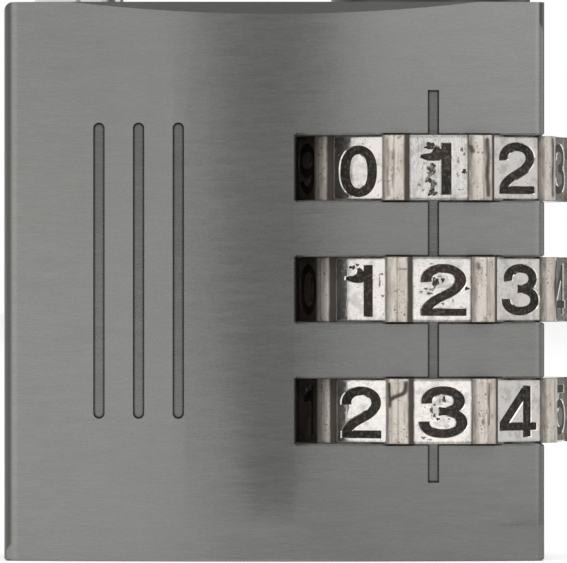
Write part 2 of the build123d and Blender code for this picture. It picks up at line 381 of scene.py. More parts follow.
@dataclass(frozen=True)
class BrushedBody:
    """Grey anodised aluminium, brushed across its two wide faces; its sides, bevels, corners and grooves
    are darker by painted shade, and its bores are darker too.
    """

    name: str = "brushed_body"
    face: Colour = (0.252, 0.252, 0.248)
    face_warm: Colour = (0.247, 0.249, 0.238)
    # Sides and bevels have a darker copy of the face colour: painted shade.
    edge: Colour = (0.104, 0.104, 0.101)
    edge_light: float = 1.12
    corner_shade: Colour = (0.036, 0.035, 0.032)
    bore: Colour = (0.50, 0.475, 0.44)
    bore_metal: float = 0.1
    roughness: float = 0.27
    rough_swing: float = 0.03
    side_roughness: Band = Band(0.3, 0.7, 0.34, 0.44)
    half_depth: float = 7.3
    crown_radius: float = 93.0
    slot_reach: float = 8.8
    slot_soft: float = 0.05
    slot_depth: Band = Band(0.3, 0.7)
    right_wall: float = 0.6
    right_soft: float = 0.3
    top_wall: float = 0.8
    base_wall: float = 0.6
    end_soft: float = 0.1
    facing: Band = Band(0.77, 0.925)
    wrap: float = 0.3
    wrap_right: Band = Band(0.5, 3.0)
    wrap_below_top: Band = Band(29.9, 29.4)
    wrap_foot: Band = Band(1.0, 0.5)
    warm_clouds: Cloud = Cloud(0.13, 2.0)
    warm_band: Band = Band(0.35, 0.65)
    fine_streaks: Cloud = Cloud(1.0, 3.0, 0.65, Grain.BRUSHED_FINE)
    broad_streaks: Cloud = Cloud(1.0, 3.0, 0.6, Grain.BRUSHED_BROAD)
    fine_share: float = 0.6
    streak_band: Band = Band(0.32, 0.68, 0.95, 1.05)
    streak_rough: Band = Band(0.3, 0.7)
    streak_microns: float = 1.6
    mottle: Cloud = Cloud(2.6, 4.0, 0.6)
    mottle_band: Band = Band(0.35, 0.7)
    mottle_microns: float = 1.2
    # Inner corners and grooves darken by ambient occlusion: painted shade.
    corner_shade_reach: float = 0.18
    corner_shade_band: Band = Band(0.68, 0.96, 1.0, 0.0)
    # Darker patches at the right, the upper left and the foot: partly a duller finish and partly painted
    # shade.
    dull_and_shaded_parts: tuple[DullAndShadedFade, ...] = (
        DullAndShadedFade(Band(-1.0, 6.0), Band(31.0, 13.0), 0.20),
        DullAndShadedFade(Band(-3.0, -11.0), Band(14.0, 29.0, 0.3, 1.0), 0.12),
        DullAndShadedFade(Band(-4.5, -2.0), Band(7.0, 1.5), 0.06),
    )

    def inside(self, recipe: Recipe, place: Socket) -> Socket:
        """Find the walls of the slots and of the stack bore.

        Args:
            recipe: The node tree.
            place: The place in millimetres.

        Returns:
            A value that is 1 on those walls and 0 outside.
        """
        x, y, z = recipe.axes(place)
        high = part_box("lock_body")[1] / MM
        right, top = high.x - self.right_wall, high.z - self.top_wall
        # The crowned face stands out by half_depth at x = 0 and falls away by x * x / (2 * crown_radius).
        sag = recipe.times(x, x, 0.5 / self.crown_radius)
        above_middle = recipe.plus(recipe.join("ABSOLUTE", y), sag)
        depth = recipe.plus(recipe.times(above_middle, -1.0), self.half_depth)
        across = recipe.join("SUBTRACT", x, dial_axis("dial_1")[0])
        radius = recipe.join("SQRT", recipe.plus(recipe.times(across, across), recipe.times(y, y)))
        share = recipe.spread(depth, self.slot_depth)
        for value, limit in (
            (radius, Band(self.slot_reach, self.slot_reach + self.slot_soft, 1.0, 0.0)),
            (x, Band(right, right + self.right_soft, 1.0, 0.0)),
            (z, Band(top, top + self.end_soft, 1.0, 0.0)),
            (z, Band(self.base_wall - self.end_soft, self.base_wall)),
        ):
            share = recipe.times(share, recipe.spread(value, limit))
        return share

    def brushed(self, recipe: Recipe, place: Socket) -> Socket:
        """Find the brushed faces, which wrap further round the body at the right and at the foot.

        Args:
            recipe: The node tree.
            place: The place in millimetres.

        Returns:
            A value that is 1 on the faces and 0 on sides, bevels and ends.
        """
        toward = recipe.axes(recipe.add("ShaderNodeTexCoord").outputs["Normal"])[1]
        x, _, z = recipe.axes(place)
        right = recipe.times(recipe.spread(x, self.wrap_right), recipe.spread(z, self.wrap_below_top))
        wrapped = recipe.times(recipe.most(right, recipe.spread(z, self.wrap_foot)), self.wrap)
        return recipe.spread(recipe.plus(recipe.join("ABSOLUTE", toward), wrapped), self.facing)

    def face_tone(self, recipe: Recipe, place: Socket, streak: Socket) -> Socket:
        """Mix the face's colour: streaks, faint warm clouds and darker parts at the sides and foot, partly
        a duller finish and partly painted shade.

        Args:
            recipe: The node tree.
            place: The place in millimetres.
            streak: The brushing's streaks.

        Returns:
            The colour.
        """
        warm = recipe.spread(recipe.noise(place, self.warm_clouds), self.warm_band)
        tone = recipe.blend(warm, self.face, self.face_warm)
        x, _, z = recipe.axes(place)
        level = recipe.spread(streak, self.streak_band)
        # Painted shade and a duller finish lower the level in these patches.
        for fade in self.dull_and_shaded_parts:
            spot = recipe.times(recipe.spread(x, fade.along_x), recipe.spread(z, fade.along_z), fade.depth)
            level = recipe.join("SUBTRACT", level, spot)
        lit = recipe.add("ShaderNodeVectorMath", {0: tone, 3: level}, operation="SCALE")
        return lit.outputs["Vector"]

    def material(self) -> bpy.types.Material:
        """Make the body's material.

        Returns:
            The material.
        """
        made = bpy.data.materials.new(self.name)
        recipe = Recipe(made)
        place = recipe.millimetres()
        brushed = self.brushed(recipe, place)
        fine = recipe.times(recipe.noise(place, self.fine_streaks), self.fine_share)
        broad = recipe.times(recipe.noise(place, self.broad_streaks), 1.0 - self.fine_share)
        streak = recipe.plus(fine, broad)
        mottle = recipe.noise(place, self.mottle)
        spotted = recipe.spread(mottle, self.mottle_band)
        # The sides and bevels get the darker edge colour: painted shade where they turn away from the
        # light.
        edge = recipe.blend(spotted, self.edge, scaled(self.edge, self.edge_light))
        colour = recipe.blend(brushed, edge, self.face_tone(recipe, place, streak))
        # Painted shade in inner corners and narrow grooves, from ambient occlusion.
        corner_shade_share = recipe.spread(recipe.corner(self.corner_shade_reach), self.corner_shade_band)
        colour = recipe.blend(corner_shade_share, colour, self.corner_shade)
        inner = self.inside(recipe, place)
        colour = recipe.blend(inner, colour, self.bore)
        low, high = self.roughness - self.rough_swing, self.roughness + self.rough_swing
        face_roughness = recipe.spread(streak, self.streak_rough.between(low, high))
        rough = recipe.mix(brushed, recipe.spread(mottle, self.side_roughness), face_roughness)
        normal = recipe.bump(mottle, self.mottle_microns, recipe.bump(streak, self.streak_microns))
        shader = recipe.metal(
            colour, rough, normal, Metallic=1.0, Anisotropic=0.9, Anisotropic_Rotation=0.25
        )
        round_z = recipe.add("ShaderNodeTangent", direction_type="RADIAL", axis="Z")
        recipe.tree.links.new(round_z.outputs["Tangent"], shader.inputs["Tangent"])
        metallic = recipe.spread(inner, Band(0.0, 1.0, 1.0, self.bore_metal))
        recipe.tree.links.new(metallic, shader.inputs["Metallic"])
        return made


@dataclass(frozen=True)
class PlainMetal:
    """A turned metal with one tone, cloudy variation, fine tool marks and a few darker spots."""

    name: str
    tone: Colour
    second: Colour
    roughness: float
    rough_range: float
    mark_microns: float
    wave_microns: float = 0.0
    spot_share: float = 0.3
    spot: Colour = (0.08, 0.075, 0.065)
    spot_dulls: float = 0.3
    clouds: Cloud = Cloud(0.45)
    cloud_band: Band = Band(0.35, 0.65)
    tool_marks: Cloud = Cloud(2.2, 5.0, 0.65, Grain.TURNED)
    wear_band: Band = Band(0.35, 0.75, 0.0, 0.25)
    rough_band: Band = Band(0.3, 0.75)
    specks: Cloud = Cloud(3.4, 5.0, 0.65)
    speck_band: Band = Band(0.66, 0.74)
    waves: Cloud = Cloud(0.5, 1.0)

    def material(self) -> bpy.types.Material:
        """Make the metal's material.

        Returns:
            The material.
        """
        made = bpy.data.materials.new(self.name)
        recipe = Recipe(made)
        place = recipe.millimetres()
        marks = recipe.noise(place, self.tool_marks)
        cloudy = recipe.spread(recipe.noise(place, self.clouds), self.cloud_band)
        colour = recipe.blend(cloudy, self.tone, self.second)
        colour = recipe.blend(recipe.spread(marks, self.wear_band), colour, self.second)
        share = self.speck_band.between(0.0, self.spot_share)
        spots = recipe.spread(recipe.noise(place, self.specks), share)
        colour = recipe.blend(spots, colour, self.spot)
        polish = self.rough_band.between(self.roughness, self.roughness + self.rough_range)
        rough = recipe.plus(recipe.spread(marks, polish), recipe.times(spots, self.spot_dulls))
        normal = recipe.bump(marks, self.mark_microns)
        if self.wave_microns:
            normal = recipe.bump(recipe.noise(place, self.waves), self.wave_microns, normal)
        recipe.metal(colour, rough, normal, Metallic=1.0)
        return made


@dataclass(frozen=True)
class DialNickel:
    """Nickel-plated dial metal: bright plates, duller ribs, brown grime and painted shade in the corners
    and on the rib flanks, paint spots.
    """

    name: str = "dial_nickel"
    warm: Colour = (0.83, 0.775, 0.735)
    cool: Colour = (0.77, 0.755, 0.725)
    clouds: Cloud = Cloud(0.7, 2.0)
    cloud_band: Band = Band(0.38, 0.62)
    pitted: Colour = (0.66, 0.65, 0.62)
    pits: Cloud = Cloud(4.5, 4.0, 0.6)
    pit_band: Band = Band(0.42, 0.75, 0.0, 0.32)
    pit_microns: float = 2.0
    haze: Colour = (0.50, 0.48, 0.455)
    veil: Cloud = Cloud(1.2, 3.0, 0.6)
    veil_band: Band = Band(0.46, 0.70, 0.0, 0.75)
    rib: Colour = (0.70, 0.645, 0.59)
    rib_worn: Colour = (0.54, 0.475, 0.41)
    drawn: Cloud = Cloud(2.0, 3.0, 0.6, Grain.DRAWN)
    drawn_band: Band = Band(0.4, 0.66)
    drawn_microns: float = 3.0
    grime: Colour = (0.075, 0.060, 0.050)
    rubbed: Cloud = Cloud(1.7, 4.0, 0.65, Grain.RUBBED)
    unevenness: float = 0.7
    grime_and_shade_band: Band = Band(0.0, 0.95)
    grime_and_shade_start: Band = Band(0.0, 0.12)
    specks: Cloud = Cloud(7.0, 4.0, 0.7)
    more_on_ribs: float = 0.035
    speck_band: Band = Band(0.59, 0.67)
    patches: Cloud = Cloud(0.9, 1.0)
    patch_band: Band = Band(0.44, 0.58)
    speck_shade: float = 0.8
    spot: Colour = (0.030, 0.024, 0.021)
    spot_band: Band = Band(0.3, 0.5, 0.55, 1.0)
    roughness: float = 0.10
    rough_band: Band = Band(0.3, 0.75)
    smoother: float = 0.03
    rougher: float = 0.09
    rib_roughness: float = 0.46
    cover_dulls: float = 0.25
    rib_shine: float = 0.42
    cover_shine: Band = Band(0.2, 0.9, 1.0, 0.15)
    specular: float = 0.35

    def soiling_and_shade(self, recipe: Recipe, place: Socket, ribs: Socket) -> Socket:
        """Find the brown grime and painted shade: smooth towards the corners and rib flanks, uneven along
        them, with scattered specks of dirt.

        Args:
            recipe: The node tree.
            place: The place in millimetres.
            ribs: The mark of the ribs.

        Returns:
            A value that is 1 where grime and painted shade cover the metal in full.
        """
        grime = recipe.mark("grime")
        rubbed = recipe.join("SUBTRACT", recipe.noise(place, self.rubbed), 0.5)
        uneven = recipe.plus(grime, recipe.times(rubbed, self.unevenness))
        start = recipe.spread(grime, self.grime_and_shade_start)
        lines = recipe.times(recipe.spread(uneven, self.grime_and_shade_band), start)
        speck = recipe.plus(recipe.noise(place, self.specks), recipe.times(ribs, self.more_on_ribs))
        patch = recipe.spread(recipe.noise(place, self.patches), self.patch_band)
        dots = recipe.times(recipe.spread(speck, self.speck_band), patch)
        return recipe.most(lines, recipe.times(dots, self.speck_shade))

    def plate_tone(self, recipe: Recipe, place: Socket, pits: Socket) -> Socket:
        """Mix the plates' colour: warm and cool clouds, pits and a patchy haze.

        Args:
            recipe: The node tree.
            place: The place in millimetres.
            pits: The fine pits.

        Returns:
            The colour.
        """
        cloudy = recipe.spread(recipe.noise(place, self.clouds), self.cloud_band)
        plate = recipe.blend(cloudy, self.warm, self.cool)
        plate = recipe.blend(recipe.spread(pits, self.pit_band), plate, self.pitted)
        veil = recipe.spread(recipe.noise(place, self.veil), self.veil_band)
        return recipe.blend(veil, plate, self.haze)

    def material(self) -> bpy.types.Material:
        """Make the dials' material.

        Returns:
            The material.
        """
        made = bpy.data.materials.new(self.name)
        recipe = Recipe(made)
        place = recipe.millimetres()
        ribs = recipe.mark("rib")
        pits = recipe.noise(place, self.pits)
        drawn = recipe.noise(place, self.drawn)
        ridge = recipe.blend(recipe.spread(drawn, self.drawn_band), self.rib, self.rib_worn)
        colour = recipe.blend(ribs, self.plate_tone(recipe, place, pits), ridge)
        # Brown darkening on flanks, edges and corners is partly grime and partly painted shade; the specks
        # are dirt.
        darkening = self.soiling_and_shade(recipe, place, ribs)
        colour = recipe.blend(darkening, colour, self.grime)
        stain = recipe.times(recipe.mark("stain"), recipe.spread(pits, self.spot_band))
        colour = recipe.blend(stain, colour, self.spot)
        cover = recipe.most(darkening, stain)
        polish = self.rough_band.between(self.roughness - self.smoother, self.roughness + self.rougher)
        dull_and_shaded_parts = recipe.times(ribs, self.rib_roughness - self.roughness)
        rough = recipe.plus(recipe.spread(pits, polish), dull_and_shaded_parts)
        rough = recipe.plus(rough, recipe.times(cover, self.cover_dulls))
        normal = recipe.bump(drawn, self.drawn_microns, recipe.bump(pits, self.pit_microns))
        shader = recipe.metal(colour, rough, normal, Specular_IOR_Level=self.specular)
        rib_shine = recipe.spread(ribs, Band(0.0, 1.0, 1.0, self.rib_shine))
        shine = recipe.times(recipe.spread(cover, self.cover_shine), rib_shine)
        recipe.tree.links.new(shine, shader.inputs["Metallic"])
        return made


@dataclass(frozen=True)
class DigitPaint:
    """Dark enamel in the sunk digits, brownish in places, with a pitted skin and pale dust in the pits."""

    name: str = "digit_paint"
    dark: Colour = (0.014, 0.013, 0.011)
    brown: Colour = (0.030, 0.020, 0.016)
    clouds: Cloud = Cloud(0.8, 2.0)
    cloud_band: Band = Band(0.4, 0.62)
    dust: Colour = (0.115, 0.100, 0.088)
    pits: Cloud = Cloud(5.5, 4.0, 0.7)
    dust_band: Band = Band(0.47, 0.66, 0.0, 0.9)
    pit_microns: float = 7.0
    rough_band: Band = Band(0.3, 0.75, 0.45, 0.7)
    specular: float = 0.2

    def material(self) -> bpy.types.Material:
        """Make the enamel's material.

        Returns:
            The material.
        """
        made = bpy.data.materials.new(self.name)
        recipe = Recipe(made)
        place = recipe.millimetres()
        pits = recipe.noise(place, self.pits)
        cloudy = recipe.spread(recipe.noise(place, self.clouds), self.cloud_band)
        colour = recipe.blend(cloudy, self.dark, self.brown)
        colour = recipe.blend(recipe.spread(pits, self.dust_band), colour, self.dust)
        rough = recipe.spread(pits, self.rough_band)
        skin = recipe.bump(pits, self.pit_microns)
        recipe.metal(colour, rough, skin, Metallic=0.0, Specular_IOR_Level=self.specular)
        return made


@dataclass(frozen=True)
class PaleCard:
    """Pale studio card of the floor: white to the camera and in reflections, and still shaded."""

    name: str = "pale_card"
    tone: Colour = (0.86, 0.86, 0.85)
    low_level: float = 0.985
    fibres: Cloud = Cloud(0.8, 4.0)
    fibre_band: Band = Band(0.3, 0.7)
    own_white: float = 0.55

    def material(self) -> bpy.types.Material:
        """Make the floor's material.

        Returns:
            The material.
        """
        made = bpy.data.materials.new(self.name)
        recipe = Recipe(made)
        fibres = recipe.spread(recipe.noise(recipe.millimetres(), self.fibres), self.fibre_band)
        colour = recipe.blend(fibres, self.tone, scaled(self.tone, self.low_level))
        card = recipe.add("ShaderNodeBsdfDiffuse", {"Color": colour})
        glow = recipe.add("ShaderNodeEmission", {"Strength": recipe.seen_share(self.own_white, 0.0)})
        both = recipe.add("ShaderNodeAddShader", {0: card.outputs[0], 1: glow.outputs[0]})
        recipe.add("ShaderNodeOutputMaterial", {"Surface": both.outputs[0]})
        return made


@dataclass
class Shell:
    """A mesh in the making, in millimetres, in which points that coincide are shared."""

    cells_in_mm: int = 20000
    sharp_angle: float = 28.0
    points: list[Point3] = field(default_factory=list)
    index: dict[tuple[int, ...], int] = field(default_factory=dict)
    faces: list[list[int]] = field(default_factory=list)
    stains: list[float] = field(default_factory=list)
    marks: dict[str, dict[int, float]] = field(default_factory=lambda: {"grime": {}, "rib": {}})

    def point(self, place: Point3, **marks: float) -> int:
        """Add a point or find the one that is there.

        Args:
            place: The point in millimetres.
            marks: Values of the surface marks at this point.

        Returns:
            The point's number.
        """
        key = tuple(round(c * self.cells_in_mm) for c in place)
        if key not in self.index:
            self.index[key] = len(self.points)
            self.points.append(place)
        number = self.index[key]
        for name, value in marks.items():
            known = self.marks[name].get(number, 0.0)
            self.marks[name][number] = max(known, value)
        return number

    def face(self, places: Sequence[Point3], stain: float = 0.0) -> None:
        """Add a face through points, leaving out corners that coincide.

        Args:
            places: The corners in order.
            stain: How much paint covers the face, from 0 to 1.
        """
        numbers: list[int] = []
        for place in places:
            number = self.point(place)
            if number not in numbers:
                numbers.append(number)
        if len(numbers) > 2:
            self.faces.append(numbers)
            self.stains.append(stain)

    def strip(self, lower: Sequence[Point3], upper: Sequence[Point3]) -> None:
        """Add the faces between two lines of as many points.

        Args:
            lower: The first line.
            upper: The second line.
        """
        for step in range(len(lower) - 1):
            self.face([lower[step], lower[step + 1], upper[step + 1], upper[step]])

    def make(self, name: str, turn: Matrix) -> bpy.types.Object:
        """Make the Blender object.

        Args:
            name: The object's name.
            turn: The matrix that takes the points, in millimetres, to their place.

        Returns:
            The new object.
        """
        mesh = bpy.data.meshes.new(name)
        mesh.from_pydata([tuple((turn @ Vector(p)) * MM) for p in self.points], [], self.faces)
        for mark, values in self.marks.items():
            layer = mesh.attributes.new(mark, "FLOAT", "POINT")
            for number, value in values.items():
                layer.data[number].value = value
        stains = mesh.attributes.new("stain", "FLOAT", "FACE")
        stains.data.foreach_set("value", self.stains)
        work = bmesh.new()
        work.from_mesh(mesh)
        bmesh.ops.recalc_face_normals(work, faces=work.faces)
        for piece_face in work.faces:
            piece_face.smooth = True
        work.to_mesh(mesh)
        work.free()
        mesh.set_sharp_from_angle(angle=math.radians(self.sharp_angle))
        return put_in_scene(name, mesh)


def about_axis(out: float, aside: float, angle: float) -> Point2:
    """Turn a point about a dial's axis.

    Args:
        out: Distance from the axis, towards -Y before the turn.
        aside: Distance to the right of that.
        angle: The turn in radians.

    Returns:
        The point's x and y.
    """
    x = aside * math.cos(angle) + out * math.sin(angle)
    y = aside * math.sin(angle) - out * math.cos(angle)
    return (x, y)


def cut_up(
    outlines: Sequence[Sequence[Point2]], near: float
) -> tuple[list[Vector], list[list[int]], list[list[int]]]:
    """Cut outlines that lie over each other into tiles that meet edge to edge.

    Args:
        outlines: The outlines.
        near: Points closer than this, in millimetres, are one.

    Returns:
        The points, each tile's point numbers and the numbers of the outlines that it lies in.
    """
    corners: list[Vector] = []
    loops: list[list[int]] = []
    for outline in outlines:
        loops.append(list(range(len(corners), len(corners) + len(outline))))
        corners += [Vector(p) for p in outline]
    made = delaunay_2d_cdt(corners, [], loops, 1, near)
    return made[0], made[2], made[5]


def bow(
    centre: Point2, reach: Point2, start: float, end: float, steps: int = 20, square: float = 2.0
) -> list[Point2]:
    """Return points along part of an oval.

    Args:
        centre: The oval's centre.
        reach: Its half width and half height.
        start: The first angle in degrees, from the right, anticlockwise.
        end: The last angle.
        steps: The number of steps.
        square: 2 for a plain oval, and more for one with fuller corners.

    Returns:
        The points in order.
    """
    points = []
    for step in range(steps + 1):
        angle = math.radians(start + (end - start) * step / steps)
        x, y = math.cos(angle), math.sin(angle)
        x = math.copysign(abs(x) ** (2.0 / square), x)
        y = math.copysign(abs(y) ** (2.0 / square), y)
        points.append((centre[0] + reach[0] * x, centre[1] + reach[1] * y))
    return points


def sweep(start: Point2, lead: Point2, follow: Point2, end: Point2, steps: int = 14) -> list[Point2]:
    """Return points along a smooth curve between two ends.

    Args:
        start: The first end.
        lead: The point that the curve leaves towards.
        follow: The point that it arrives from.
        end: The last end.
        steps: The number of steps.

    Returns:
        The points in order.
    """
    points = []
    for step in range(steps + 1):
        t = step / steps
        weights = ((1 - t) ** 3, 3 * t * (1 - t) ** 2, 3 * t * t * (1 - t), t**3)
        pairs = zip(weights, (start, lead, follow, end))
        total = [(w * p[0], w * p[1]) for w, p in pairs]
        points.append((sum(p[0] for p in total), sum(p[1] for p in total)))
    return points


@dataclass(frozen=True)
class Stroke:
    """One line of a digit, drawn with an oval pen that is wider than tall."""

    line: tuple[Point2, ...]
    half_width: float = 0.212
    closed: bool = False
    taper: tuple[float, ...] = ()
    mitre_limit: float = 1.6
    sharpest: float = 0.3

    def ribbon(self, widen: float, pen_stretch: float) -> list[list[Point2]]:
        """Return the four-sided patches that cover the line.

        Args:
            widen: Extra half width and extra length at the ends.
            pen_stretch: How much wider than tall the pen is.

        Returns:
            The patches, each a list of four corners.
        """
        # The line is squeezed, drawn with a round pen and stretched back.
        points = [Vector((x / pen_stretch, y)) for x, y in self.line]
        count = len(points)
        halves = self.taper or (self.half_width,) * count
        if widen and not self.closed:
            points[0] = points[0] + (points[0] - points[1]).normalized() * widen
            points[-1] = points[-1] + (points[-1] - points[-2]).normalized() * widen
        sides = []
        for number, point in enumerate(points):
            before = points[(number - 1) % count] if self.closed or number else point
            after = points[(number + 1) % count] if self.closed or number < count - 1 else point
            first = (point - before).normalized() if point != before else (after - point).normalized()
            second = (after - point).normalized() if after != point else first
            along = (first + second).normalized()
            mitre = min(self.mitre_limit, 1.0 / max(self.sharpest, along.dot(second)))
            aside = Vector((-along.y, along.x)) * (halves[number] + widen) * mitre
            sides.append((point + aside, point - aside))
        patches = []
        for number in range(count if self.closed else count - 1):
            a, b = sides[number]
            c, d = sides[(number + 1) % count]
            patches.append([(p.x * pen_stretch, p.y) for p in (a, b, d, c)])
        return patches


@dataclass(frozen=True)
class Fleck:
    """A spot of paint left on a plate beside its digit, with an uneven edge, in millimetres."""

    middle: Point2
    reach: Point2
    shade: float = 1.0
    corner_count: int = 22
    swell: float = 1.15
    waves: tuple[Point3, ...] = ((3, 5.0, 0.24), (5, 9.0, 0.2), (8, 3.0, 0.12))
    own_twist: Point2 = (7.3, 4.1)

    def outline(self) -> list[Point2]:
        """Draw the spot's edge, as waves round an oval that its place shifts.

        Returns:
            The edge about the plate's middle.
        """
        seed = self.own_twist[0] * self.middle[0] + self.own_twist[1] * self.middle[1]
        points = []
        for step in range(self.corner_count):
            angle = 2 * math.pi * step / self.corner_count
            uneven = self.swell
            for count, twist, height in self.waves:
                uneven += height * math.sin(count * angle + twist * seed)
            x = self.middle[0] + self.reach[0] * uneven * math.cos(angle)
            y = self.middle[1] + self.reach[1] * uneven * math.sin(angle)
            points.append((x, y))
        return points


@dataclass(frozen=True)
class Smudge:
    """A line of dried dirt on a rib, in millimetres about the rib's middle."""

    line: tuple[Point2, ...]
    half_width: float = 0.1
    shade: float = 1.0
    falloff: float = 0.5

    def depth(self, aside: float, up: float) -> float:
        """Return how dark the line is at a point.

        Args:
            aside: Distance to the right of the rib's middle.
            up: Height above it.

        Returns:
            The darkness, from 0 to the line's shade.
        """
        here = Vector((aside, up))
        nearest = self.half_width
        for first, second in zip(self.line, self.line[1:]):
            start, end = Vector(first), Vector(second)
            foot, share = intersect_point_line(here, start, end)
            foot = start if share < 0.0 else end if share > 1.0 else foot.to_2d()
            nearest = min(nearest, (here - foot).length)
        return self.shade * (1.0 - nearest / self.half_width) ** self.falloff


@dataclass(frozen=True)
class DialTraces:
    """What sets a dial apart, by plate: paint spots, dirt on the rib after it and its digit's offset."""

    flecks: dict[int, tuple[Fleck, ...]]
    smudges: dict[int, tuple[Smudge, ...]]
    nudges: dict[int, Point2]


def loop_line(points: list[Point2]) -> tuple[Point2, ...]:
    """Return a closed line's points without the repeated last one."""
    return tuple(points[:-1])


def digit_strokes() -> list[list[Stroke]]:
    """Draw the digits, in millimetres about each digit's middle.

    Returns:
        A list of strokes for each digit from 0 to 9.
    """
    zero = [Stroke(loop_line(bow((0.0, 0.0), (0.90, 1.20), 0, 360, 84, 2.3)), closed=True)]
    flag = (
        (-1.01, 0.71), (-0.80, 0.69), (-0.58, 0.66), (-0.38, 0.67),
        (-0.18, 0.72), (0.0, 0.80), (0.15, 0.89), (0.3, 1.0),
    )
    flag_halves = (0.085, 0.13, 0.17, 0.195, 0.25, 0.33, 0.43, 0.42)
    one = [Stroke(((0.43, 1.42), (0.43, -1.42)), 0.2), Stroke(flag, taper=flag_halves)]
    bowl = bow((0.05, 0.56), (0.96, 0.65), 187, -22, 44, 2.1)
    neck = sweep((0.88, 0.25), (0.60, -0.33), (-0.74, -0.42), (-0.93, -1.2))
    two = [Stroke(tuple(bowl + neck[1:])), Stroke(((-1.19, -1.23), (1.33, -1.23)), 0.185)]
    waist = (-0.2, 0.05)
    upper = bow((0.0, 0.63), (0.91, 0.58), 190, -90, 46, 2.15)
    lower = bow((0.0, -0.58), (1.05, 0.62), 90, -182, 46, 2.15)
    three = [Stroke((*upper, waist)), Stroke((waist, *lower))]
    four = [
        Stroke(((0.64, 1.42), (0.64, -1.42)), 0.19),
        Stroke(((-1.38, -0.85), (1.34, -0.85)), 0.195),
        Stroke(((0.56, 1.24), (-1.18, -0.80))),
    ]
    five = [
        Stroke(((-0.76, 1.2), (1.05, 1.2))),
        Stroke(((-0.72, 1.3), (-0.88, 0.08))),
        Stroke(tuple(bow((0.0, -0.41), (1.02, 0.79), 146, -168, 30, 2.15))),
    ]
    six = [
        Stroke(loop_line(bow((0.02, -0.47), (0.98, 0.74), 0, 360, 56, 2.15)), closed=True),
        Stroke(tuple(bow((0.02, 0.0), (1.0, 1.21), 35, 195, 26, 2.15))),
    ]
    seven = [
        Stroke(((-1.2, 1.2), (1.17, 1.2))),
        Stroke(tuple(sweep((1.02, 1.2), (0.3, 0.55), (-0.28, -0.35), (-0.4, -1.42)))),
    ]
    eight = [
        Stroke(loop_line(bow((0.0, 0.62), (0.86, 0.59), 0, 360, 32)), closed=True),
        Stroke(loop_line(bow((0.0, -0.57), (1.0, 0.64), 0, 360, 32)), closed=True),
    ]
    nine = [Stroke(tuple((-x, -y) for x, y in part.line), closed=part.closed) for part in six]
    return [zero, one, two, three, four, five, six, seven, eight, nine]


class Region(Enum):
    """What a patch of a number plate is; where patches overlap, the higher one holds."""

    PLATE = 0
    FLECK = 1
    RIM = 2
    FLOOR = 3


@dataclass(frozen=True)
class Patch:
    """One outline on a number plate, what it is and how much paint covers it."""

    outline: list[Point2]
    region: Region
    shade: float = 0.0


